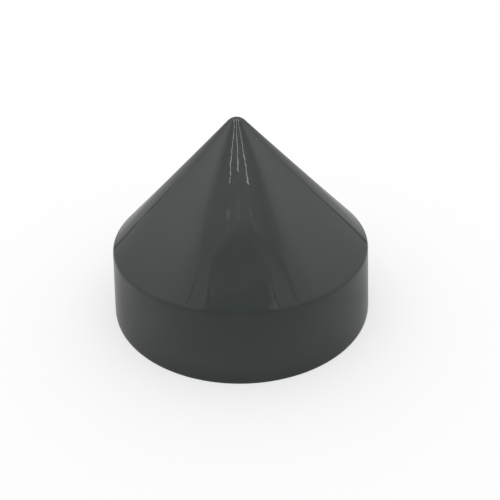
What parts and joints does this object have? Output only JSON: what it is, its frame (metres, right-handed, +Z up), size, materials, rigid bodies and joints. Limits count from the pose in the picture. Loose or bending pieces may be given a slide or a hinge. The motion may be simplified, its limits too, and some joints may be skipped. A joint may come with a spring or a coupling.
{
  "type": "pile cap",
  "caption": "Hollow cone-topped plastic cap with a tapered skirt, which slips over the head of a round dock pile and sheds rain and birds.",
  "frame": {"origin": "centre of the mouth, on the plane of the rim that the cap rests on", "axes": "+Z up the axis of the shell to its tip, -Z out of the mouth; X and Y lie in the rim's plane and are alike"},
  "size_m": [0.2603, 0.2604, 0.1881],
  "materials": {
    "dark_grey_plastic": "gloss"
  },
  "bodies": {
    "root": {"cap_shell": "dark_grey_plastic"}
  },
  "joints": []
}
